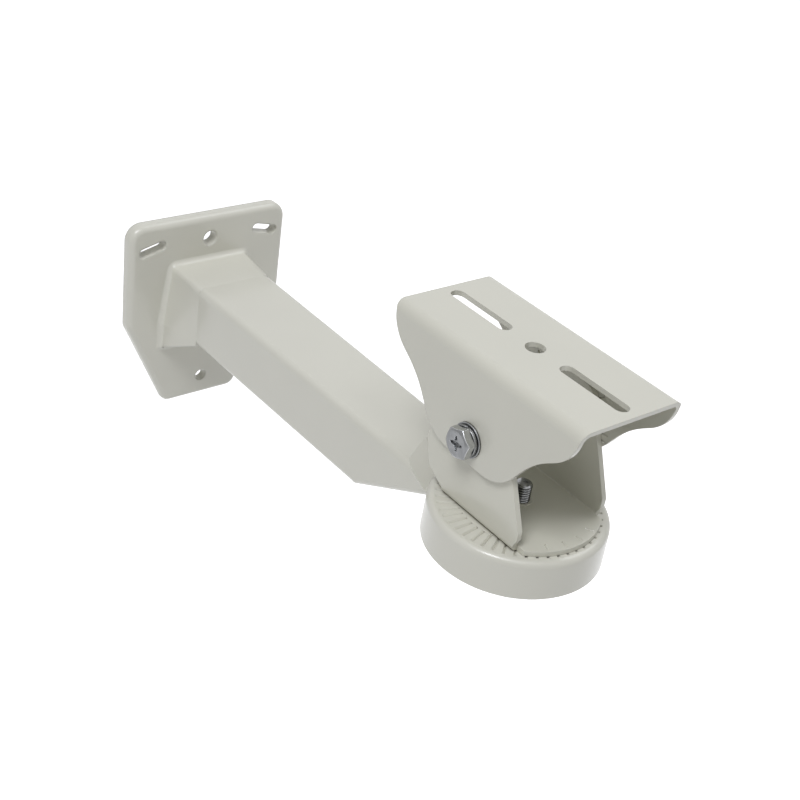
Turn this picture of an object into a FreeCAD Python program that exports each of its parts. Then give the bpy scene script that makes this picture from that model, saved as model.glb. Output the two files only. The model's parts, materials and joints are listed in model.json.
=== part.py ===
import FreeCAD, Part
import math
import os
from FreeCAD import Vector as V

# Wall bracket with a toothed turntable and a folded tilting saddle.
# X runs along the wall, -Y is the way the arm reaches out, Z is up.
# The origin is the centre of the wall plate, on its wall face.

# wall plate of the casting
plate_width = 98.0
plate_height = 116.0
plate_foot_width = 46.0
plate_depth = 7.0
plate_skin = 3.8
plate_rim = 4.5
plate_corner = 9.0
plate_foot_corner = 6.0
plate_edge = 3.4
foot_thinning = 2.0
foot_crease = 3.6

# fixing holes of the wall plate
fixing_inset = 13.3
top_hole_dia = 8.6
foot_hole_dia = 7.0
slot_inset = 13.5
slot_drop = 14.0
plate_slot_length = 16.6
plate_slot_width = 5.6
plate_slot_angle = 14.0
boss_wall = 2.4

# arm of the casting, from the wall to the pan axis
reach = 266.0
arm_root_width = 45.2
arm_tip_width = 39.4
arm_top_z = 30.6
arm_depth = 35.2
arm_wall = 3.6
arm_edge = 3.6
root_length = 27.0
root_width = 58.0
root_shoulder_drop = 33.0
root_depth = 49.0
root_rise = 2.0
root_edge = 3.0

# neck between arm and turntable, measured back from the pan axis
neck_length = 87.5
neck_slope = 27.3
notch_apex = 65.2
notch_lead = 11.5
notch_drop = 6.5
notch_slope = 24.0

# turntable of the casting
table_radius = 40.6
table_foot_radius = 41.0
table_height = 19.6
table_rise = 5.0
table_edge = 3.0
table_foot_edge = 0.8
table_web = 8.8
table_wall = 4.0
tooth_count = 48
tooth_margin = 0.7
tooth_length = 9.4
tooth_depth = 0.9
tooth_width = 1.5
pan_hole_gap = 0.08

# gap between parts that turn on one another
run_gap = 0.05

# yoke, folded from sheet
yoke_sheet = 2.5
yoke_width = 52.0
yoke_base_radius = 36.0
yoke_bend = 3.0
yoke_relief = 1.6
yoke_relief_rise = 3.4
pivot_back = 10.5
pivot_height = 36.3
cheek_head_radius = 24.2
cheek_knee_height = 10.8
cheek_rear = 36.9
cheek_rear_height = 21.5
cheek_heel = 33.2
cheek_heel_height = 8.6
cheek_corner = 4.0
mark_count = 4
mark_angle = 15.0
mark_length = 3.8
mark_inset = 1.2
mark_depth = 0.5
mark_width = 0.9
collar_height = 0.9
collar_wall = 1.1

# saddle, folded from sheet, with S-shaped wing edges
saddle_sheet = 2.4
saddle_length = 114.8
saddle_rise = 37.2
saddle_bend = 5.0
saddle_corner = 2.0
wing_foot_drop = 10.9
wing_tip_inset = 3.1
wing_tip_drop = 14.3
wing_tip_radius = 20.0
wing_waist_half = 36.9
wing_waist_drop = 25.8
wing_waist_radius = 45.0
wing_lobe_half = 21.6
wing_lobe_radius = 20.0
saddle_slot_length = 37.0
saddle_slot_width = 7.0
saddle_slot_end = 4.4
saddle_hole_dia = 9.0
wing_tooth_outer = 27.6
wing_tooth_length = 10.6
wing_tooth_depth = 0.6
wing_tooth_width = 1.1
wing_tooth_fan = 42.0

# hexagon fasteners
thread_dia = 8.0
hex_flats = 13.0
bevel_share = 1.06
bevel_angle = 30.0
head_height = 4.3
nut_height = 6.5
cross_width = 1.5
cross_span = 6.6
cross_depth = 2.0
flat_washer_dia = 17.0
flat_washer_thick = 1.0
spring_washer_dia = 14.2
spring_washer_thick = 1.6
spring_split = 0.9
spring_split_lean = 28.0
tilt_bolt_spare = 3.3
pan_stud_height = 9.5

# places that follow from the sizes above
hw_plate = plate_width / 2
plate_top = plate_height / 2
shoulder_z = arm_top_z - root_shoulder_drop
arm_low_z = arm_top_z - arm_depth
root_low_z = arm_top_z - root_depth
table_top_z = arm_top_z + table_rise
table_foot_z = table_top_z - table_height
web_under_z = table_top_z - table_web
tooth_outer = table_radius - table_edge - tooth_margin
thread_radius = thread_dia / 2
pivot = V(0, pivot_back - reach, table_top_z + pivot_height)
yoke_half = yoke_width / 2
saddle_half = yoke_half + run_gap + saddle_sheet
saddle_top_z = pivot.z + saddle_rise

X, Y, Z = V(1, 0, 0), V(0, 1, 0), V(0, 0, 1)
quarter = 90.0
O = V(0, 0, 0)
# a cutter starts this far outside the skin that it opens
over = 0.5


def outline(corners):
    """Closed wire through (point, radius) corners, with a tangent arc where the radius isn't zero."""
    joints = []
    for i, (point, radius) in enumerate(corners):
        back = (corners[i - 1][0] - point).normalize()
        ahead = (corners[(i + 1) % len(corners)][0] - point).normalize()
        if radius == 0:
            joints.append((point, None, point))
            continue
        half = back.getAngle(ahead) / 2
        inward = (back + ahead).normalize()
        run = radius / math.tan(half)
        middle = point + inward * (radius / math.sin(half) - radius)
        joints.append((point + back * run, middle, point + ahead * run))
    edges = []
    for i, (start, middle, end) in enumerate(joints):
        if middle is not None:
            edges.append(Part.Arc(start, middle, end).toShape())
        following = joints[(i + 1) % len(joints)][0]
        if end.distanceToPoint(following) > 1e-6:
            edges.append(Part.makeLine(end, following))
    return Part.Wire(edges)


def polygon(points):
    return outline([(point, 0) for point in points])


def prism(wire, way):
    return Part.Face(wire).extrude(way)


def rod(radius, length, at, way):
    return Part.makeCylinder(radius, length, at, way)


def block(low, high):
    return Part.makeBox(high.x - low.x, high.y - low.y, high.z - low.z, low)


def stadium(centre, length, width, way, through):
    """Round-ended slot, length end to end along way, carried along the vector through."""
    side = V(through).normalize().cross(way) * (width / 2)
    end = way * (length / 2)
    corners = [centre - end - side, centre + end - side, centre + end + side, centre - end + side]
    # the radius stays a hair under half the width, so that no straight stretch is lost
    return prism(outline([(corner, width / 2 - 0.001) for corner in corners]), through)


def fillet_long_edges(shape, radius, shortest, low=-math.inf, high=math.inf):
    """Round the edges that run mostly along Y, are longer than shortest, and lie between two heights."""
    def wanted(edge):
        ends = (edge.Vertexes[0], edge.Vertexes[-1])
        between = all(low < end.Z < high for end in ends)
        return between and abs(ends[0].Y - ends[1].Y) > shortest
    return shape.makeFillet(radius, [edge for edge in shape.Edges if wanted(edge)])


def biggest(shape):
    return max(shape.Solids, key=lambda solid: solid.Volume)


# Casting: wall plate, arm, neck and turntable are one piece.

def plate_wire():
    foot = plate_foot_width / 2
    half = [(V(hw_plate, 0, plate_top), plate_corner),
            (V(hw_plate, 0, shoulder_z), plate_corner),
            (V(foot, 0, -plate_top), plate_foot_corner)]
    mirrored = [(V(-point.x, 0, point.z), radius) for point, radius in reversed(half)]
    return outline(half + mirrored)


def make_plate():
    body = prism(plate_wire(), V(0, -plate_depth, 0))
    # under the crease the face falls back towards the wall
    crease_z = shoulder_z - foot_crease
    slope = foot_thinning / (plate_top + crease_z)
    low = -2 * plate_height
    wedge = polygon([V(-plate_width, -plate_depth, crease_z),
                     V(-plate_width, -2 * plate_depth, crease_z),
                     V(-plate_width, -2 * plate_depth, low),
                     V(-plate_width, -plate_depth + slope * (crease_z - low), low)])
    body = body.cut(prism(wedge, V(2 * plate_width, 0, 0)))

    def is_rim(edge):
        front = all(vertex.Y < -plate_depth + foot_thinning + over for vertex in edge.Vertexes)
        crease = all(abs(vertex.Z - crease_z) < 0.01 for vertex in edge.Vertexes)
        return front and not crease
    body = body.makeFillet(plate_edge, [edge for edge in body.Edges if is_rim(edge)])
    # the back is hollow inside a rim
    hollow = prism(plate_wire().makeOffset2D(-plate_rim), V(0, plate_skin - plate_depth, 0))
    return body.cut(hollow)


def root_wire(y, half_top, half_low, top, shoulder, low):
    return polygon([V(-half_top, y, top), V(half_top, y, top), V(half_low, y, shoulder),
                    V(half_low, y, low), V(-half_low, y, low), V(-half_low, y, shoulder)])


def make_root(wall, start_y):
    """Flared root of the arm; a wall above zero gives the space inside it instead."""
    shoulder_end = arm_low_z + wall + over
    wide = root_wire(start_y, arm_root_width / 2 + root_rise / 2 - wall, root_width / 2 - wall,
                     arm_top_z + root_rise - wall, shoulder_z, root_low_z + wall)
    end_y = -plate_depth - root_length
    end_half = arm_half(end_y) - wall
    narrow = root_wire(end_y, end_half, end_half,
                       arm_top_z - wall, shoulder_end, arm_low_z + wall)
    return Part.makeLoft([wide, narrow], True, True)


def arm_half(y):
    """Half the width of the tapering arm at y."""
    return (arm_root_width - (arm_root_width - arm_tip_width) * (-y / reach)) / 2


def arm_beam(start_y, end_y, wall, top, start_low, end_low):
    """Tapering beam along the arm: its plan carried up to the top, less what lies under a sloping floor."""
    low = min(start_low, end_low) - over
    plan = [V(-arm_half(start_y) + wall, start_y, low), V(arm_half(start_y) - wall, start_y, low),
            V(arm_half(end_y) - wall, end_y, low), V(-arm_half(end_y) + wall, end_y, low)]
    beam = prism(polygon(plan), V(0, 0, top - low))
    wide = arm_root_width
    slope = (end_low - start_low) / (end_y - start_y)
    under = polygon([V(-wide, start_y + over, start_low + slope * over),
                     V(-wide, end_y - over, end_low - slope * over),
                     V(-wide, end_y - over, low - over),
                     V(-wide, start_y + over, low - over)])
    return beam.cut(prism(under, V(2 * wide, 0, 0)))


def make_arm():
    """The arm is what a level beam and a beam with a rising floor share, both rounded along their edges."""
    start_y = over - plate_depth
    end_y = table_radius / 2 - reach
    rise_y = neck_length - reach
    slope = math.tan(math.radians(neck_slope))
    level = arm_beam(start_y, end_y, 0, arm_top_z, arm_low_z, arm_low_z)
    rising = arm_beam(start_y, end_y, 0, arm_top_z + arm_depth,
                      arm_low_z + (rise_y - start_y) * slope, arm_low_z + (rise_y - end_y) * slope)
    level = fillet_long_edges(level, arm_edge, arm_depth)
    rising = fillet_long_edges(rising, arm_edge, arm_depth, high=arm_top_z + over)
    return level.common(rising)


def make_notch():
    """V step, seen from above, that drops the top of the neck down two sloping faces."""
    half = arm_root_width
    lead = notch_lead * half / (arm_tip_width / 2)
    run = 1 / math.tan(math.radians(notch_slope))

    def level(depth):
        y = notch_apex - reach - depth * run
        z = arm_top_z - depth
        return polygon([V(-half, y - lead, z), V(0, y, z), V(half, y - lead, z),
                        V(half, -reach, z), V(-half, -reach, z)])
    return Part.makeLoft([level(-over), level(notch_drop)], True, True)


def make_channel():
    """Space for the cable: closed through the root, open below along the arm."""
    inside_root = make_root(arm_wall, over)
    low = arm_low_z - arm_wall
    inside_arm = arm_beam(-plate_depth - root_length, neck_length - reach - arm_wall, arm_wall,
                          arm_top_z - arm_wall, low, low)
    return [inside_root, inside_arm]


def fixing_cutters():
    """Bosses that carry the plate's skin through to the wall, and the holes through them."""
    boss_depth = V(0, plate_skin - plate_depth - over, 0)
    start = V(0, over, 0)
    through = V(0, -2 * plate_depth, 0)
    bosses, holes = [], []
    for z, dia in ((plate_top - fixing_inset, top_hole_dia), (fixing_inset - plate_top, foot_hole_dia)):
        bosses.append(rod(dia / 2 + boss_wall, boss_depth.Length, V(0, 0, z), -Y))
        holes.append(rod(dia / 2, through.Length, V(0, over, z), -Y))
    for side in (-1, 1):
        angle = math.radians(plate_slot_angle)
        way = V(math.cos(angle), 0, -side * math.sin(angle))
        centre = V(side * (hw_plate - slot_inset), 0, plate_top - slot_drop)
        bosses.append(stadium(centre, plate_slot_length + 2 * boss_wall, plate_slot_width + 2 * boss_wall,
                              way, boss_depth))
        holes.append(stadium(centre + start, plate_slot_length, plate_slot_width, way, through))
    return bosses, holes


def make_table():
    """Turned disc with a hollow underside, on the pan axis."""
    hollow = table_foot_radius - table_wall
    foot = table_foot_radius - table_foot_edge
    profile = outline([(V(0, 0, web_under_z), 0), (V(hollow, 0, web_under_z), 0),
                       (V(hollow, 0, table_foot_z), 0), (V(foot, 0, table_foot_z), 0),
                       (V(table_foot_radius, 0, table_foot_z + table_foot_edge), 0),
                       (V(table_radius, 0, table_top_z), table_edge), (V(0, 0, table_top_z), 0)])
    body = Part.Face(profile).revolve(O, Z, 360)
    body.translate(V(0, -reach, 0))
    return body


def groove(inner, length, width, depth):
    """V groove along X in a face at z = 0, cut from above it."""
    half = width / 2
    flare = 1 + over / depth
    section = polygon([V(inner, -half * flare, over), V(inner, 0, -depth), V(inner, half * flare, over)])
    return prism(section, V(length, 0, 0))


def table_teeth():
    teeth = []
    for i in range(tooth_count):
        tooth = groove(tooth_outer - tooth_length, tooth_length, tooth_width, tooth_depth)
        tooth.rotate(O, Z, i * 360.0 / tooth_count)
        tooth.translate(V(0, -reach, table_top_z))
        teeth.append(tooth)
    return teeth


def make_casting():
    arm = make_arm().cut(make_notch())
    root = fillet_long_edges(make_root(0, over - plate_depth), root_edge, root_length / 2,
                             low=arm_top_z - over)
    body = make_plate().fuse([arm, root]).removeSplitter()
    body = body.cut(make_channel())
    bosses, holes = fixing_cutters()
    body = body.fuse(bosses).cut(holes)
    # the neck stops at the wall of the turntable and leaves its hollow open
    hollow = rod(table_foot_radius - table_wall, web_under_z - table_foot_z + over,
                 V(0, -reach, table_foot_z - over), Z)
    body = body.fuse(make_table()).cut(hollow)
    pan_hole = rod(thread_radius + pan_hole_gap, table_height, V(0, -reach, table_foot_z + over), Z)
    body = body.cut([pan_hole] + table_teeth())
    return biggest(body.removeSplitter())


# Yoke: a round base, and two cheeks folded up from its chords.

def bend_strip(side, start_y, end_y, base_z):
    """Quarter bend between base and cheek, carried along Y."""
    inner = max(yoke_bend - yoke_sheet, 0.1)
    face = side * yoke_half
    near = side * (yoke_half - yoke_bend)
    inner_face = side * (yoke_half - yoke_sheet)
    section = outline([(V(face, start_y, base_z + yoke_bend), 0),
                       (V(face, start_y, base_z), yoke_bend - 0.001),
                       (V(near, start_y, base_z), 0), (V(near, start_y, base_z + yoke_sheet), 0),
                       (V(inner_face, start_y, base_z + yoke_sheet), inner - 0.001),
                       (V(inner_face, start_y, base_z + yoke_bend), 0)])
    return prism(section, V(0, end_y - start_y, 0))


def make_cheek(side, front_y, rear_y, base_z):
    """Cheek plate: it stands on the bend, leans back, and ends in a round head about the tilt pivot."""
    x = side * (yoke_half - yoke_sheet)
    chord_y = front_y - yoke_relief
    head = cheek_head_radius
    foot_z = base_z + yoke_bend
    corners = [(front_y, foot_z, 0),
               (chord_y, foot_z + yoke_relief_rise, 0),
               (chord_y, table_top_z + cheek_knee_height, cheek_corner),
               (pivot.y - head, pivot.z, 0),
               (pivot.y - head, pivot.z + head, head),
               (pivot.y + head, pivot.z + head, head),
               (pivot.y + head, pivot.z, 0),
               (cheek_rear - reach, table_top_z + cheek_rear_height, cheek_corner),
               (cheek_heel - reach, table_top_z + cheek_heel_height, 0),
               (rear_y, foot_z, 0)]
    wire = outline([(V(x, y, z), radius) for y, z, radius in corners])
    return prism(wire, V(side * yoke_sheet, 0, 0))


def base_marks(top_z):
    """Short radial marks at the front and the back of the base."""
    marks = []
    for centre in (-quarter, quarter):
        for i in range(mark_count):
            angle = centre + (i - (mark_count - 1) / 2) * mark_angle
            mark = groove(yoke_base_radius - mark_inset - mark_length, mark_length, mark_width, mark_depth)
            mark.rotate(O, Z, angle)
            mark.translate(V(0, -reach, top_z))
            marks.append(mark)
    return marks


def make_yoke():
    base_z = table_top_z + run_gap
    top_z = base_z + yoke_sheet
    chord = math.sqrt(yoke_base_radius ** 2 - yoke_half ** 2)
    front_y = -reach - chord + yoke_relief
    rear_y = -reach + chord - yoke_relief
    flat_half = yoke_half - yoke_bend
    body = rod(yoke_base_radius, yoke_sheet, V(0, -reach, base_z), Z)
    body = body.common(block(V(-flat_half, -2 * reach, base_z), V(flat_half, 0, top_z)))
    for side in (-1, 1):
        body = body.fuse([bend_strip(side, front_y, rear_y, base_z),
                          make_cheek(side, front_y, rear_y, base_z)])
    # collar pulled up round the thread of the pan bolt
    collar = rod(thread_radius + collar_wall, yoke_sheet + collar_height, V(0, -reach, base_z), Z)
    body = body.removeSplitter().fuse(collar)
    tapped = rod(thread_radius, 2 * (yoke_sheet + collar_height), V(0, -reach, base_z - over), Z)
    pivot_holes = rod(thread_radius + run_gap, 2 * yoke_width, pivot - X * yoke_width, X)
    return biggest(body.cut([tapped, pivot_holes] + base_marks(top_z)))


# Saddle: a long top that carries the camera, with two wings folded down beside the cheeks.

def saddle_section():
    half, t = saddle_half, saddle_sheet
    y = pivot.y - saddle_length / 2
    top = saddle_top_z
    low = pivot.z - wing_foot_drop
    inner = saddle_bend - t
    skin = [(-half, low, 0), (-half, top, saddle_bend), (half, top, saddle_bend), (half, low, 0)]
    half = half - t
    skin += [(half, low, 0), (half, top - t, inner), (-half, top - t, inner), (-half, low, 0)]
    return outline([(V(x, y, z), radius) for x, z, radius in skin])


def wing_side():
    """Side view of the saddle: each end runs in an S from the top's tip to the lobe at the foot."""
    x = -2 * saddle_half
    top = saddle_top_z
    rear = [(saddle_length / 2, top + over, 0),
            (saddle_length / 2, top, 0),
            (saddle_length / 2 - wing_tip_inset, top - wing_tip_drop, wing_tip_radius),
            (wing_waist_half, top - wing_waist_drop, wing_waist_radius),
            (wing_lobe_half, pivot.z - wing_foot_drop, wing_lobe_radius)]
    front = [(-y, z, radius) for y, z, radius in reversed(rear)]
    wire = outline([(V(x, pivot.y + y, z), radius) for y, z, radius in rear + front])
    return prism(wire, V(4 * saddle_half, 0, 0))


def saddle_plan():
    """Plan view of the saddle with its corners taken off."""
    half, length = saddle_half, saddle_length / 2
    low = pivot.z - 2 * saddle_rise
    corners = [V(-half, pivot.y - length, low), V(half, pivot.y - length, low),
               V(half, pivot.y + length, low), V(-half, pivot.y + length, low)]
    return prism(outline([(corner, saddle_corner) for corner in corners]), V(0, 0, 4 * saddle_rise))


def wing_teeth():
    """Radial teeth pressed into the inner faces of the wings, in a fan before and behind the pivot."""
    step = 360.0 / tooth_count
    half_fan = int(wing_tooth_fan / step - 0.5)
    angles = [(i + 0.5) * step for i in range(-half_fan - 1, half_fan + 1)]
    teeth = []
    for side in (-1, 1):
        for centre in (-quarter, quarter):
            for angle in angles:
                tooth = groove(wing_tooth_outer - wing_tooth_length, wing_tooth_length,
                               wing_tooth_width, wing_tooth_depth)
                tooth.rotate(O, Z, centre + angle)
                tooth.rotate(O, Y, -quarter * side)
                tooth.translate(V(side * (saddle_half - saddle_sheet), pivot.y, pivot.z))
                teeth.append(tooth)
    return teeth


def make_saddle():
    body = prism(saddle_section(), V(0, saddle_length, 0))
    body = body.common(wing_side()).common(saddle_plan())
    above = V(0, pivot.y, saddle_top_z + over)
    down = V(0, 0, -saddle_sheet - 2 * over)
    slot_offset = saddle_length / 2 - saddle_slot_end - saddle_slot_length / 2
    cutters = [rod(saddle_hole_dia / 2, down.Length, above, -Z)]
    for side in (-1, 1):
        middle = above + Y * (side * slot_offset)
        cutters.append(stadium(middle, saddle_slot_length, saddle_slot_width, Y, down))
    cutters.append(rod(thread_radius + run_gap, 4 * saddle_half, pivot - X * (2 * saddle_half), X))
    return biggest(body.cut(cutters + wing_teeth()))


# Fasteners: each is made standing on z = 0, then turned and put on its axis.

def hexagon_wire(flats, z, turn):
    """Regular hexagon at height z, turned by a share of one sixth of a turn."""
    corner = flats / math.sqrt(3.0)
    angles = [(i + turn) * math.pi / 3 for i in range(6)]
    return polygon([V(corner * math.cos(angle), corner * math.sin(angle), z) for angle in angles])


def hexagon(height):
    """Hexagonal prism whose six corners are taken off at the top, at 30 degrees to the top face."""
    body = prism(hexagon_wire(hex_flats, 0, 0), V(0, 0, height))
    top_flats = hex_flats * bevel_share
    foot_flats = top_flats + 2 * height / math.tan(math.radians(bevel_angle))
    bevels = [hexagon_wire(foot_flats, 0, 0.5), hexagon_wire(top_flats, height, 0.5)]
    return body.common(Part.makeLoft(bevels, True, True))


def make_nut():
    body = hexagon(nut_height)
    body = body.common(body.mirror(V(0, 0, nut_height / 2), Z))
    return body.cut(rod(thread_radius, nut_height, O, Z))


def make_bolt(length, with_cross):
    head = hexagon(head_height)
    if with_cross:
        span, width, floor = cross_span / 2, cross_width / 2, head_height - cross_depth
        head = head.cut([block(V(-span, -width, floor), V(span, width, head_height + over)),
                         block(V(-width, -span, floor), V(width, span, head_height + over))])
    return biggest(head.fuse(rod(thread_radius, length, O, -Z)).removeSplitter())


def flat_washer():
    ring = rod(flat_washer_dia / 2, flat_washer_thick, O, Z)
    return ring.cut(rod(thread_radius, flat_washer_thick, O, Z))


def spring_washer():
    """Ring with a slanted split."""
    ring = rod(spring_washer_dia / 2, spring_washer_thick, O, Z)
    half = spring_split / 2
    deep = 2 * spring_washer_thick
    split = block(V(0, -half, -deep), V(spring_washer_dia, half, deep))
    split.rotate(V(0, 0, spring_washer_thick / 2), X, spring_split_lean)
    return ring.cut([rod(thread_radius, spring_washer_thick, O, Z), split])


def put(shape, at, way):
    placed = shape.copy()
    placed.Placement = FreeCAD.Placement(at, FreeCAD.Rotation(Z, way)).multiply(placed.Placement)
    return placed


def tilt_set(side, name):
    """Bolt, washers and nut on one side of the tilt axis, from the head inwards."""
    way = X * side
    nut_at = pivot + way * (yoke_half - yoke_sheet - nut_height)
    flat_at = pivot + way * (saddle_half + run_gap)
    spring_at = flat_at + way * flat_washer_thick
    head_at = spring_at + way * spring_washer_thick
    length = head_at.distanceToPoint(nut_at) + tilt_bolt_spare
    return {"tilt_flat_washer_" + name: put(flat_washer(), flat_at, way),
            "tilt_spring_washer_" + name: put(spring_washer(), spring_at, way),
            "tilt_bolt_" + name: put(make_bolt(length, True), head_at, way),
            "tilt_nut_" + name: put(make_nut(), nut_at, way)}


def pan_set():
    """Bolt and washers under the web of the turntable; the thread stands up through the yoke."""
    flat_at = V(0, -reach, web_under_z - run_gap)
    spring_at = flat_at - Z * flat_washer_thick
    head_at = spring_at - Z * spring_washer_thick
    stud_top = table_top_z + run_gap + yoke_sheet + collar_height + pan_stud_height
    bolt = make_bolt(stud_top - head_at.z, False)
    return {"pan_flat_washer": put(flat_washer(), flat_at, -Z),
            "pan_spring_washer": put(spring_washer(), spring_at, -Z),
            "pan_bolt": put(bolt, head_at, -Z)}


def build():
    nodes = {"arm_casting": make_casting(), "yoke": make_yoke(), "saddle": make_saddle()}
    nodes.update(tilt_set(-1, "left"))
    nodes.update(tilt_set(1, "right"))
    nodes.update(pan_set())
    return nodes


os.makedirs("parts", exist_ok=True)
for node, solid in build().items():
    solid.exportStep("parts/%s.step" % node)
    facts = (node, solid.isValid(), solid.Volume, len(solid.Faces))
    print("%-26s valid %s, volume %.1f mm3, %d faces" % facts)
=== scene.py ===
# %% [markdown]
# # A wall bracket for a camera, in pale powder coat
#
# The bracket is one casting (wall plate, arm and turntable), a folded yoke that turns on the turntable, and
# a folded saddle that tilts on two bolts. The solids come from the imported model. This file gives them their
# finish, and makes the pieces whose looks need more than a solid: threads, hexagon heads with a cross
# recess, nuts, washers, and the fillet where the arm grows out of the plate. Each new piece is a surface
# from numpy.

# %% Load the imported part
import bpy
import json
import math
import numpy as np
from mathutils import Matrix, Vector


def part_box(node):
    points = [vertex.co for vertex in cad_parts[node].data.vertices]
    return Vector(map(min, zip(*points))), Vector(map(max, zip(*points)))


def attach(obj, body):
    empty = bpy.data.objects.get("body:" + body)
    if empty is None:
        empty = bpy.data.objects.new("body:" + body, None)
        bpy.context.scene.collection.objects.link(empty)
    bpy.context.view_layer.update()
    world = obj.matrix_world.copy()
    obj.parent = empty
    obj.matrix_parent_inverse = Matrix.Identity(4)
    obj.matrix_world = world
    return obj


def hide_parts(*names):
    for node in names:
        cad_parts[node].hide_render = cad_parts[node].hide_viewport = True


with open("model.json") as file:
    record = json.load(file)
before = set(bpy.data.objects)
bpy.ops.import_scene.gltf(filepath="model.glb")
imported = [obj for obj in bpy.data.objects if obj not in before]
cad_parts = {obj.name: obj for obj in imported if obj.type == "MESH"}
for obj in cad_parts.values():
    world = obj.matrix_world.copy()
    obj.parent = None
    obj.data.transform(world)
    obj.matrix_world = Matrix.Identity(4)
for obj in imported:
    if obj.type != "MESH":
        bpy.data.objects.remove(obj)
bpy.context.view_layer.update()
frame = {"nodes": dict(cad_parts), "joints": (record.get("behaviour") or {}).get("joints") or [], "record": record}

# %% [markdown]
# ## Places that every piece shares
#
# A new piece has to sit where the solid sits. The joints give the pan axis and the tilt axis, and a node's
# box gives its faces, so most places can be read. Lengths that can't be read are written in millimetres,
# because that is how a maker would say them.

# %% Axes and unit
MM = 0.001
joints = {joint["name"]: np.array(joint["pos_m"], float) for joint in frame["joints"]}
pan = joints["pan"]
pivot = joints["tilt"]
print("pan axis", pan, "tilt axis", pivot)

# %% [markdown]
# ## Powder coat
#
# Powder coat is a thick, satin layer. Three things give it away up close: a faint orange peel, a few
# millimetres from crest to crest; a tone that wanders a little where the layer is thicker; and gloss that
# varies where hands have been. All three come from noise on Object coordinates, so they keep their size on
# every piece. Paint also flows round every edge: the Bevel node turns the normal near an edge, as if a ball
# of that radius rolled along. Narrow gaps, where little open sky is left, get a darker colour: painted
# shade. A thin glossy coat over the satin layer draws the bright lines along rounded edges. The mould's
# corners are rounder near the wall, so the edges are softer there, and the saddle's colour is a touch
# darker, a painted shade.


# %% Node helpers
def new_material(name):
    material = bpy.data.materials.new(name)
    material.use_nodes = True
    nodes = material.node_tree.nodes
    nodes.clear()
    shader = nodes.new("ShaderNodeBsdfPrincipled")
    output = nodes.new("ShaderNodeOutputMaterial")
    material.node_tree.links.new(shader.outputs["BSDF"], output.inputs["Surface"])
    return material, shader


def node(material, kind, inputs=(), **settings):
    """Add a node; inputs is a list of (socket, value or output)."""
    made = material.node_tree.nodes.new(kind)
    for name, value in settings.items():
        setattr(made, name, value)
    for socket, value in inputs:
        if isinstance(value, bpy.types.NodeSocket):
            material.node_tree.links.new(value, made.inputs[socket])
        else:
            made.inputs[socket].default_value = value
    return made


def noise(material, size_mm, detail):
    """Noise whose lumps are about size_mm across, on Object coordinates."""
    place = node(material, "ShaderNodeTexCoord")
    made = node(material, "ShaderNodeTexNoise", [("Vector", place.outputs["Object"]),
                                                 ("Scale", 1 / (size_mm * MM)), ("Detail", detail)])
    return made.outputs["Fac"]


def ramp(material, value, low, high, to_low, to_high):
    """Carry low..high in a straight line to to_low..to_high, and hold the ends outside."""
    made = node(material, "ShaderNodeMapRange", [("Value", value), ("From Min", low), ("From Max", high),
                                                 ("To Min", to_low), ("To Max", to_high)])
    return made.outputs["Result"]


def mixed_color(material, factor, color_a, color_b):
    made = node(material, "ShaderNodeMix", data_type="RGBA")
    links = material.node_tree.links
    for socket, value in ((0, factor), (6, color_a), (7, color_b)):
        if isinstance(value, bpy.types.NodeSocket):
            links.new(value, made.inputs[socket])
        else:
            made.inputs[socket].default_value = value
    return made.outputs[2]


# %% Powder coat material
WALL_END_MM = (-60.0, -40.0)


def powder_coat(name, color, edge_mm, wall_edge_mm, peel_mm, peel_depth_mm):
    """Satin paint: base colour that wanders by a few percent, orange peel as bump, uneven gloss, soft edges.
    The edges' radius grows from edge_mm to wall_edge_mm over the stretch of y in WALL_END_MM."""
    material, shader = new_material(name)
    wander = ramp(material, noise(material, 38.0, 1.0), 0.2, 0.8, 0.0, 1.0)
    darker = [channel * 0.965 for channel in color] + [1]
    tone = mixed_color(material, wander, darker, list(color) + [1])
    # Painted shade: where the AO finds little open sky, the colour turns darker.
    cover = node(material, "ShaderNodeAmbientOcclusion", [("Distance", 1.5 * MM)], samples=8)
    open_part = ramp(material, cover.outputs["AO"], 0.05, 0.60, 0.0, 1.0)
    painted_gap_shade = [channel * share for channel, share in zip(color, (0.42, 0.40, 0.35))] + [1]
    links = material.node_tree.links
    links.new(mixed_color(material, open_part, painted_gap_shade, tone), shader.inputs["Base Color"])
    gloss = ramp(material, noise(material, 22.0, 0.0), 0.2, 0.8, 0.285, 0.33)
    links.new(gloss, shader.inputs["Roughness"])
    place = node(material, "ShaderNodeTexCoord")
    along = node(material, "ShaderNodeSeparateXYZ", [("Vector", place.outputs["Object"])]).outputs["Y"]
    radius = ramp(material, along, WALL_END_MM[0] * MM, WALL_END_MM[1] * MM, edge_mm * MM, wall_edge_mm * MM)
    edges = node(material, "ShaderNodeBevel", [("Radius", radius)], samples=8)
    bump = node(material, "ShaderNodeBump", [("Height", noise(material, peel_mm, 1.0)), ("Strength", 1.0),
                                             ("Distance", peel_depth_mm * MM),
                                             ("Normal", edges.outputs["Normal"])])
    links.new(bump.outputs["Normal"], shader.inputs["Normal"])
    shader.inputs["Specular IOR Level"].default_value = 0.40
    shader.inputs["Coat Weight"].default_value = 0.35
    shader.inputs["Coat Roughness"].default_value = 0.11
    links.new(bump.outputs["Normal"], shader.inputs["Coat Normal"])
    return material


casting_coat = powder_coat("casting_coat", (0.624, 0.617, 0.540), 0.32, 1.6, 1.5, 0.016)
sheet_coat = powder_coat("sheet_coat", (0.624, 0.617, 0.530), 0.20, 0.20, 1.2, 0.012)
# Painted shade: the saddle's colour is a touch darker than the yoke's.
saddle_coat_painted_shade = powder_coat("saddle_coat_painted_shade", (0.592, 0.585, 0.506), 0.32, 0.32, 1.2, 0.012)
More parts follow.
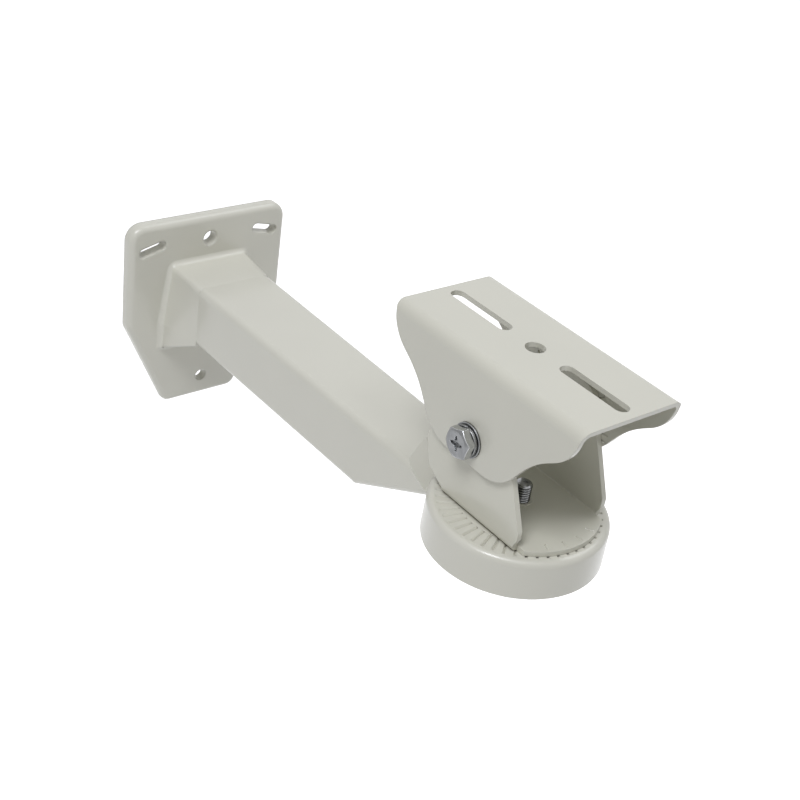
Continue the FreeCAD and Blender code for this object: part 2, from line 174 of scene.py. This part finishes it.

# %% [markdown]
# ## Zinc plate
#
# Bolts and washers are zinc plated: a grey metal with a slight blue, a little uneven from the plating bath.
# Metal shows mostly what it mirrors, so the roughness matters more than the colour. The hollows, such as
# thread grooves and the cross recess, get painted shade: the share of open sky at a point picks between a
# dark shade colour and the plate. The faces that square up to the x axis, a tilt bolt's front face among
# them, keep the plain grey. The flats round the head and the thread get a brighter colour, a painted
# reflection, so the tone follows the x part of the normal, in the piece's own frame.


# %% Zinc material
def zinc_plate(name, color, painted_sheen_color, rough):
    """Metal that is patchy by a fifth: color where the normal lies along x, and elsewhere painted_sheen_color, a
    brighter painted reflection; hollows get painted shade.
    """
    material, shader = new_material(name)
    links = material.node_tree.links
    patchy = ramp(material, noise(material, 2.4, 3.0), 0.35, 0.65, 0.0, 1.0)
    dull = [channel * 0.82 for channel in color] + [1]
    face_tone = mixed_color(material, patchy, dull, list(color) + [1])
    # Painted reflection: faces whose normal turns away from x get the brighter second colour.
    facing = node(material, "ShaderNodeTexCoord").outputs["Normal"]
    part_x = node(material, "ShaderNodeSeparateXYZ", [("Vector", facing)]).outputs["X"]
    square = node(material, "ShaderNodeMath", [(0, part_x)], operation="ABSOLUTE").outputs[0]
    along_x = ramp(material, square, 0.60, 0.85, 0.0, 1.0)
    plate = mixed_color(material, along_x, list(painted_sheen_color) + [1], face_tone)
    # Painted shade: hollows with little open sky turn to a dark colour.
    cover = node(material, "ShaderNodeAmbientOcclusion", [("Distance", 1.0 * MM)], samples=8)
    open_part = ramp(material, cover.outputs["AO"], 0.62, 0.96, 0.0, 1.0)
    painted_hollow_shade = [channel * 0.22 for channel in color] + [1]
    links.new(mixed_color(material, open_part, painted_hollow_shade, plate), shader.inputs["Base Color"])
    links.new(ramp(material, noise(material, 1.1, 4.0), 0.3, 0.7, rough - 0.02, rough + 0.05),
              shader.inputs["Roughness"])
    dents = noise(material, 2.2, 1.0)
    bump = node(material, "ShaderNodeBump", [("Height", dents), ("Strength", 1.0), ("Distance", 0.012 * MM)])
    links.new(bump.outputs["Normal"], shader.inputs["Normal"])
    shader.inputs["Metallic"].default_value = 1.0
    return material


# The second colour of each is the painted reflection on the faces that don't square up to x.
bolt_zinc = zinc_plate("bolt_zinc", (0.23, 0.235, 0.24), (0.52, 0.53, 0.54), 0.20)
stud_zinc = zinc_plate("stud_zinc", (0.23, 0.235, 0.24), (0.32, 0.325, 0.33), 0.20)
washer_zinc = zinc_plate("washer_zinc", (0.27, 0.275, 0.28), (0.34, 0.345, 0.35), 0.36)
finishes = {"casting_coat": casting_coat, "sheet_coat": sheet_coat,
            "bolt_zinc": bolt_zinc, "washer_zinc": washer_zinc}

# %% Give every solid its finish
for row in frame["record"]["subparts"]:
    solid = frame["nodes"][row["node"]]
    solid.data.materials.clear()
    solid.data.materials.append(finishes[row["material_slot"]])
frame["nodes"]["saddle"].data.materials[0] = saddle_coat_painted_shade

# %% [markdown]
# ## Surfaces from grids
#
# Every new piece is a grid of points: rows run along or across the piece and columns run round it. One
# function turns a grid into a mesh. The points are worked out in millimetres in the piece's own frame, with
# z along its axis, and are then carried to the axis of the solid that the piece stands for.


# %% Grid to mesh
def surface(name, rows, material, loop=False):
    """Mesh over a grid (rows, columns, 3); columns close into a ring, rows too where loop is set."""
    count, around = rows.shape[:2]
    i, j = np.meshgrid(np.arange(count if loop else count - 1), np.arange(around), indexing="ij")
    up, on = (i + 1) % count, (j + 1) % around
    quads = np.stack([i * around + j, i * around + on, up * around + on, up * around + j], axis=-1)
    mesh = bpy.data.meshes.new(name)
    mesh.from_pydata(rows.reshape(-1, 3).tolist(), [], quads.reshape(-1, 4).tolist())
    mesh.polygons.foreach_set("use_smooth", np.ones(len(mesh.polygons), bool))
    mesh.materials.append(material)
    made = bpy.data.objects.new(name, mesh)
    bpy.context.scene.collection.objects.link(made)
    return made


def on_axis(points, foot, way):
    """Carry points in mm, z along the axis, to metres: foot is where z = 0, way is the unit z vector."""
    z_way = np.array(way, float)
    y_way = np.array([0.0, 1.0, 0.0])
    x_way = np.cross(y_way, z_way)
    return np.array(foot) + MM * (points @ np.stack([x_way, y_way, z_way]))


def turned(radius, height, columns):
    """Grid from r(row, column) and z(row, column) about z: (r cos a, r sin a, z)."""
    angle = np.linspace(0, 2 * math.pi, columns, endpoint=False)[None, :]
    radius, height = np.broadcast_arrays(radius, height, np.zeros((1, columns)))[:2]
    return np.stack([radius * np.cos(angle), radius * np.sin(angle), height], axis=-1)


def smooth_step(value):
    """0 below 0, 1 above 1, and 3 v^2 - 2 v^3 between."""
    value = np.clip(value, 0, 1)
    return value * value * (3 - 2 * value)


# %% [markdown]
# ## Hexagon bolts
#
# A head is a surface in polar form. Its radius follows the hexagon: a face at angle m has r = a / cos(angle
# - m), and a soft maximum over the six faces rounds the corners. The top falls by tan 30 outside a circle,
# which gives the curved bevels. The cross recess is a depth taken off the top. A tightened bolt stops at
# any angle, so the hexagon and the cross are turned as the left one stands in the photo. The thread is a
# helix: at angle w and height z, the place within one pitch is z / pitch - w / 2 pi, and the radius follows
# a V with a flat crest.

# %% Bolt surface
FLATS_MM = 13.0
THREAD_MM = 8.0
PITCH_MM = 1.25
HEAD_MM = 4.3
HEX_TURN = math.radians(-13)
CROSS_TURN = math.radians(9)
CROSS_MM = 3.7
DOME_MM = 0.9
GROOVE_MM = 0.72
BORE_GAP_MM = 0.02
BEVEL_FROM = 0.44
BEVEL_SLOPE = math.tan(math.radians(30))
COLUMNS = 192
corner_turn = np.linspace(0, 2 * math.pi, COLUMNS, endpoint=False)[None, :]


def hexagon_radius(flats):
    """r(angle) = a / (sum over faces of cos(angle - m)^p)^(1/p), a soft maximum that rounds the corners."""
    faces = (np.arange(6) + 0.5)[:, None] * math.pi / 3 + HEX_TURN
    toward = np.clip(np.cos(corner_turn - faces), 0, 1)
    return (flats / 2 / (toward ** 90).sum(axis=0) ** (1 / 90))[None, :]


def bevel_drop(radius, flats):
    """How far the bevel lowers the face outside the circle of BEVEL_FROM times flats."""
    return np.maximum(radius - BEVEL_FROM * flats, 0) * BEVEL_SLOPE


def cross_recess(x, y):
    """Depth in mm of a cross recess: two tapering slots with steep sides, deeper towards the middle."""
    near, far = np.minimum(np.abs(x), np.abs(y)), np.maximum(np.abs(x), np.abs(y))
    inside = np.minimum(1.52 - 0.27 * far - near, 0.8 * (CROSS_MM - far))
    return (1.15 + 0.85 * smooth_step(1 - far / CROSS_MM)) * smooth_step(inside / 0.30)


def thread_radius(height, run_out):
    """V thread: r = R - depth * v, v from 0 at the crest to 1 at the root; it fades above run_out."""
    place = (height / PITCH_MM - corner_turn / (2 * math.pi)) % 1
    vee = np.clip((1 - np.abs(2 * place - 1)) * 1.25 - 0.12, 0, 1)
    return THREAD_MM / 2 - GROOVE_MM * vee * smooth_step((run_out - height) / PITCH_MM)


def bolt_points(length, with_cross):
    """Rows from the tip of the thread, along it, out under the head, up its faces and in over its top."""
    tip = THREAD_MM / 2 - DOME_MM
    share = np.linspace(0, 1, 13)[:, None]
    end = turned(share * tip, -length + DOME_MM * share ** 2.5, COLUMNS)
    z = np.arange(-length + DOME_MM, -0.3, PITCH_MM / 7)[:, None]
    shank = np.minimum(thread_radius(z, -2.0), tip + (z + length - DOME_MM))
    side = hexagon_radius(FLATS_MM)
    out = np.array([0.0, 0.6, 0.97, 1.0])[:, None]
    under = turned(THREAD_MM / 2 * (1 - out) + (side - 0.12) * out, np.zeros((4, 1)), COLUMNS)
    wall_top = HEAD_MM - bevel_drop(side, FLATS_MM)
    up = np.array([0.03, 0.06, 0.25, 0.5, 0.75, 0.94, 0.97])[:, None]
    wall = turned(side + np.zeros((7, 1)), wall_top * up, COLUMNS)
    inward = np.concatenate([[0.985, 0.975, 0.96, 0.945, 0.93, 0.92], np.linspace(0.9, 0, 64)])[:, None]
    r = side * inward
    angle = corner_turn - CROSS_TURN
    z_top = HEAD_MM - bevel_drop(r, FLATS_MM)
    if with_cross:
        z_top = z_top - cross_recess(r * np.cos(angle), r * np.sin(angle))
    top = turned(r, z_top, COLUMNS)
    return np.concatenate([end, turned(shank, z, COLUMNS), under, wall, top])


def box_mm(name):
    low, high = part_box(name)
    return np.array(low) / MM, np.array(high) / MM


def finish(made, name, body):
    """Tie a new piece to its body, and hide the solid that it stands for."""
    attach(made, body)
    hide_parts(name)
    return made


# %% Make the three bolts
for side_name, way in (("left", (-1, 0, 0)), ("right", (1, 0, 0))):
    low, high = box_mm("tilt_bolt_" + side_name)
    length = high[0] - low[0] - HEAD_MM
    face = low[0] if way[0] < 0 else high[0]
    foot = pivot + np.array([(face - way[0] * HEAD_MM) * MM, 0, 0])
    bolt = surface("bolt_" + side_name, on_axis(bolt_points(length, True), foot, way), bolt_zinc)
    finish(bolt, "tilt_bolt_" + side_name, "yoke")
low, high = box_mm("pan_bolt")
foot = np.array([pan[0], pan[1], (low[2] + HEAD_MM) * MM])
points = bolt_points(high[2] - low[2] - HEAD_MM, False)
bolt = surface("bolt_pan", on_axis(points, foot, (0, 0, -1)), stud_zinc)
finish(bolt, "pan_bolt", "yoke")

# %% [markdown]
# ## Washers and nuts
#
# A flat washer is punched, so its section is a rectangle with one soft side. A spring washer is cut from
# square wire, so its section sweeps almost a full turn and ends in two slanted faces. A nut is the same
# hexagon as the head, bevelled on both faces, round a bore. In each, the rows run along one loop or sweep.


# %% Sections and sweeps
def soft_rectangle(r_low, r_high, z_low, z_high, corner, steps=5):
    """Closed loop of (r, z) points round a rectangle whose corners are quarter circles."""
    quarter = np.linspace(0, math.pi / 2, steps)
    centres = [(r_high - corner, z_low + corner, -math.pi / 2), (r_high - corner, z_high - corner, 0.0),
               (r_low + corner, z_high - corner, math.pi / 2), (r_low + corner, z_low + corner, math.pi)]
    arcs = [np.stack([r + corner * np.cos(quarter + start), z + corner * np.sin(quarter + start)], axis=-1)
            for r, z, start in centres]
    return np.concatenate(arcs)


RIM_DRAWN_IN_MM = 0.6
SPLIT_LEAN = math.tan(math.radians(28))
SPLIT_MM = 0.5


def flat_washer_points(outer, thick):
    """The punched edge is drawn in a little, so the rim shows as a thin line round the head."""
    section = soft_rectangle(THREAD_MM / 2 + BORE_GAP_MM, outer - RIM_DRAWN_IN_MM, 0, thick, 0.22)
    return turned(section[:, :1], section[:, 1:], 144)


def spring_washer_points(outer, thick):
    """Sweep of a soft square; the split leans, so its angle shifts with height."""
    section = soft_rectangle(THREAD_MM / 2 + BORE_GAP_MM, outer, 0, thick, 0.25)[::-1]
    sweep = np.linspace(0, 1, 120)[:, None]
    lean = (section[:, 1] - thick / 2) * SPLIT_LEAN / section[:, 0]
    gap = SPLIT_MM / section[:, 0]
    angle = lean + gap + sweep * (2 * math.pi - 2 * gap)
    ring = np.stack([section[:, 0] * np.cos(angle), section[:, 0] * np.sin(angle),
                     section[:, 1] + 0 * angle], axis=-1)
    caps = [np.repeat(ring[row].mean(axis=0)[None, None], len(section), axis=1) for row in (0, -1)]
    return np.concatenate([caps[0], ring, caps[1]])


def nut_points(height):
    """Loop of rows round the nut's section: bore, lower face, sides, upper face."""
    side = hexagon_radius(FLATS_MM)
    bore = THREAD_MM / 2 + BORE_GAP_MM
    drop = bevel_drop(side, FLATS_MM)
    share = np.array([0, 0.5, 0.8, 0.84, 0.87, 0.9, 0.95, 0.985])[:, None]
    face_r = bore + (side - bore) * share
    face_drop = bevel_drop(face_r, FLATS_MM)
    up = np.array([0.03, 0.08, 0.5, 0.92, 0.97])[:, None]
    rows = [(face_r, face_drop), (side + 0 * up, drop + up * (height - 2 * drop)),
            (face_r[::-1], height - face_drop[::-1])]
    return np.concatenate([turned(r, z, COLUMNS) for r, z in rows])


# %% Put washers and nuts in place
for side_name, way in (("left", (-1, 0, 0)), ("right", (1, 0, 0))):
    for kind, shape in (("flat_washer", flat_washer_points), ("spring_washer", spring_washer_points)):
        name = "tilt_%s_%s" % (kind, side_name)
        low, high = box_mm(name)
        inner = high[0] if way[0] < 0 else low[0]
        foot = pivot + np.array([inner * MM, 0, 0])
        points = shape((high[1] - low[1]) / 2, high[0] - low[0])
        loop = kind == "flat_washer"
        finish(surface("ring_" + name, on_axis(points, foot, way), washer_zinc, loop), name, "yoke")
    name = "tilt_nut_" + side_name
    low, high = box_mm(name)
    inner = high[0] if way[0] < 0 else low[0]
    foot = pivot + np.array([inner * MM, 0, 0])
    finish(surface("nut_" + side_name, on_axis(nut_points(high[0] - low[0]), foot, way), bolt_zinc, True),
           name, "yoke")
for kind, shape in (("flat_washer", flat_washer_points), ("spring_washer", spring_washer_points)):
    name = "pan_" + kind
    low, high = box_mm(name)
    foot = np.array([pan[0], pan[1], high[2] * MM])
    points = shape((high[0] - low[0]) / 2, high[2] - low[2])
    finish(surface("ring_" + name, on_axis(points, foot, (0, 0, -1)), washer_zinc, kind == "flat_washer"),
           name, "yoke")

# %% [markdown]
# ## Fillet where the arm grows out of the plate
#
# A casting has no sharp inner corner. The band follows the root's outline on the plate. At each point of
# the outline, n points away from the root, and the band's section is a quarter of a hollow circle: at angle
# q it stands r (1 - sin q) out along n and r (1 - cos q) above the plate, less the lean of the root's face.
# Its two edges sink a little into the casting, so no gap shows.

# %% Fillet band
FILLET_MM = 3.0
PLATE_FACE_MM = -7.0
CREASE_MM = -6.0
FACE_SLOPE = 2.0 / 52.0
SINK_MM = 0.04
SIDE_LEAN, TOP_LEAN, FOOT_LEAN = 0.25, 0.075, 0.5
ROOT_CORNERS_MM = [(-29.0, -18.4, 1.0), (-28.9, -2.4, 3.0), (-23.6, 32.6, 3.4), (23.6, 32.6, 3.4),
                   (28.9, -2.4, 3.0), (29.0, -18.4, 1.0)]


def rounded_loop(corners, steps=9, between=12):
    """Points and outward normals round a clockwise polygon in (x, z) whose corners are arcs."""
    spots = np.array([corner[:2] for corner in corners])
    points, normals = [], []
    for index, (x, z, radius) in enumerate(corners):
        here = np.array([x, z])
        back = spots[index - 1] - here
        ahead = spots[(index + 1) % len(spots)] - here
        back, ahead = back / np.linalg.norm(back), ahead / np.linalg.norm(ahead)
        half = math.acos(np.clip(back @ ahead, -1, 1)) / 2
        middle = here + (back + ahead) / np.linalg.norm(back + ahead) * radius / math.sin(half)
        first = -np.array([-back[1], back[0]])
        last = np.array([-ahead[1], ahead[0]])
        share = np.linspace(0, 1, steps)[:, None]
        normal = first * (1 - share) + last * share
        normal /= np.linalg.norm(normal, axis=1)[:, None]
        points.append(middle + normal * radius)
        normals.append(normal)
    closed = np.concatenate(points + [points[0][:1]]), np.concatenate(normals + [normals[0][:1]])
    walk = np.linspace(0, len(closed[0]) - 1, (len(closed[0]) - 1) * between, endpoint=False)
    index = walk.astype(int)
    share = (walk - index)[:, None]
    return [part[index] * (1 - share) + part[index + 1] * share for part in closed]


loop_points, loop_normals = rounded_loop(ROOT_CORNERS_MM)
top_or_foot = np.where(loop_normals[:, 1] > 0, TOP_LEAN, FOOT_LEAN)
lean = np.where(np.abs(loop_normals[:, 1]) < 0.6, SIDE_LEAN, top_or_foot)
plate_y = PLATE_FACE_MM + FACE_SLOPE * np.maximum(CREASE_MM - loop_points[:, 1], 0)
quarter = np.linspace(0, math.pi / 2, 14)[:, None]
rise = FILLET_MM * (1 - np.cos(quarter)) - SINK_MM
reach_out = FILLET_MM * (1 - np.sin(quarter)) - lean * rise - SINK_MM
band = np.stack([loop_points[:, 0] + loop_normals[:, 0] * reach_out, plate_y - rise,
                 loop_points[:, 1] + loop_normals[:, 1] * reach_out], axis=-1)
fillet = surface("root_fillet", band * MM, casting_coat)
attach(fillet, "casting")

# %% [markdown]
# ## Floor, light and camera
#
# The photo is a studio shot on white: one broad soft light from above and the left, and three weaker ones
# from the front and the right. The floor is far below, so the shadow is only a breath. The camera repeats
# the photo's place, turn and focal length.

# %% Floor
FLOOR_DROP = 0.30
FLOOR_HALF = 6.0
FLOOR_GLOW = 0.70
corners = [(-FLOOR_HALF, -FLOOR_HALF, -FLOOR_DROP), (FLOOR_HALF, -FLOOR_HALF, -FLOOR_DROP),
           (FLOOR_HALF, FLOOR_HALF, -FLOOR_DROP), (-FLOOR_HALF, FLOOR_HALF, -FLOOR_DROP)]
floor_mesh = bpy.data.meshes.new("floor")
floor_mesh.from_pydata(corners, [], [(0, 1, 2, 3)])
floor = bpy.data.objects.new("floor", floor_mesh)
bpy.context.scene.collection.objects.link(floor)


def backdrop_rays(tree):
    """1 for the rays that show the backdrop itself: camera, mirror and glass rays."""
    path = tree.nodes.new("ShaderNodeLightPath")
    total = path.outputs["Is Camera Ray"]
    for name in ("Is Glossy Ray", "Is Transmission Ray"):
        either = tree.nodes.new("ShaderNodeMath")
        either.operation = "MAXIMUM"
        tree.links.new(total, either.inputs[0])
        tree.links.new(path.outputs[name], either.inputs[1])
        total = either.outputs[0]
    return total


floor_paint, floor_shader = new_material("floor_paint")
floor_shader.inputs["Base Color"].default_value = (0.90, 0.90, 0.90, 1)
floor_shader.inputs["Roughness"].default_value = 0.9
floor_shader.inputs["Emission Color"].default_value = (1, 1, 1, 1)
glow = node(floor_paint, "ShaderNodeMath", [(0, backdrop_rays(floor_paint.node_tree)), (1, FLOOR_GLOW)],
            operation="MULTIPLY")
floor_paint.node_tree.links.new(glow.outputs[0], floor_shader.inputs["Emission Strength"])
floor.data.materials.append(floor_paint)

# %% World
world = bpy.data.worlds.new("studio")
bpy.context.scene.world = world
world.use_nodes = True
WORLD_LIGHT = 0.29
sky = world.node_tree.nodes["Background"]
sky.inputs["Color"].default_value = (1, 1, 1, 1)
strength = world.node_tree.nodes.new("ShaderNodeMapRange")
strength.inputs["To Min"].default_value = WORLD_LIGHT
world.node_tree.links.new(backdrop_rays(world.node_tree), strength.inputs["Value"])
world.node_tree.links.new(strength.outputs["Result"], sky.inputs["Strength"])


# %% Lamps
COOL = (0.985, 0.995, 1.05)


def lamp(name, place, target, size, power):
    data = bpy.data.lights.new(name, "AREA")
    data.shape = "DISK"
    data.size = size
    data.energy = power
    data.color = COOL
    made = bpy.data.objects.new(name, data)
    bpy.context.scene.collection.objects.link(made)
    way = Vector(target) - Vector(place)
    made.location = place
    made.rotation_euler = way.to_track_quat("-Z", "Y").to_euler()


middle = (0, -0.17, 0.03)
lamp("key", (-0.9, -0.5, 1.5), middle, 0.7, 15.0)
lamp("front", (-0.35, -0.9, 1.5), middle, 0.8, 3.2)
lamp("right", (0.9, -0.1, 1.3), middle, 0.8, 4.8)
lamp("fill", (1.1, -0.9, 0.7), middle, 1.0, 0.9)

# %% Camera
FOCUS_PX = 1327.44
IMAGE_PX = 800
CENTRE_DROP_PX = 35
SENSOR_MM = 36.0
eye = np.array([-0.36292, -0.57232, 0.37011])
turn, dip, roll = np.radians([43.05, 33.24, 9.38])
forward = np.array([math.sin(turn) * math.cos(dip), math.cos(turn) * math.cos(dip), -math.sin(dip)])
level = np.array([math.cos(turn), -math.sin(turn), 0])
down = np.cross(forward, level)
right = math.cos(roll) * level - math.sin(roll) * down
below = math.sin(roll) * level + math.cos(roll) * down
camera_data = bpy.data.cameras.new("camera")
camera_data.sensor_width = SENSOR_MM
camera_data.lens = FOCUS_PX * SENSOR_MM / IMAGE_PX
camera_data.shift_y = CENTRE_DROP_PX / IMAGE_PX
camera = bpy.data.objects.new("camera", camera_data)
bpy.context.scene.collection.objects.link(camera)
pose = np.eye(4)
pose[:3, 0], pose[:3, 1], pose[:3, 2], pose[:3, 3] = right, -below, -forward, eye
camera.matrix_world = Matrix(pose.tolist())
bpy.context.scene.camera = camera
bpy.context.scene.view_settings.view_transform = "Standard"
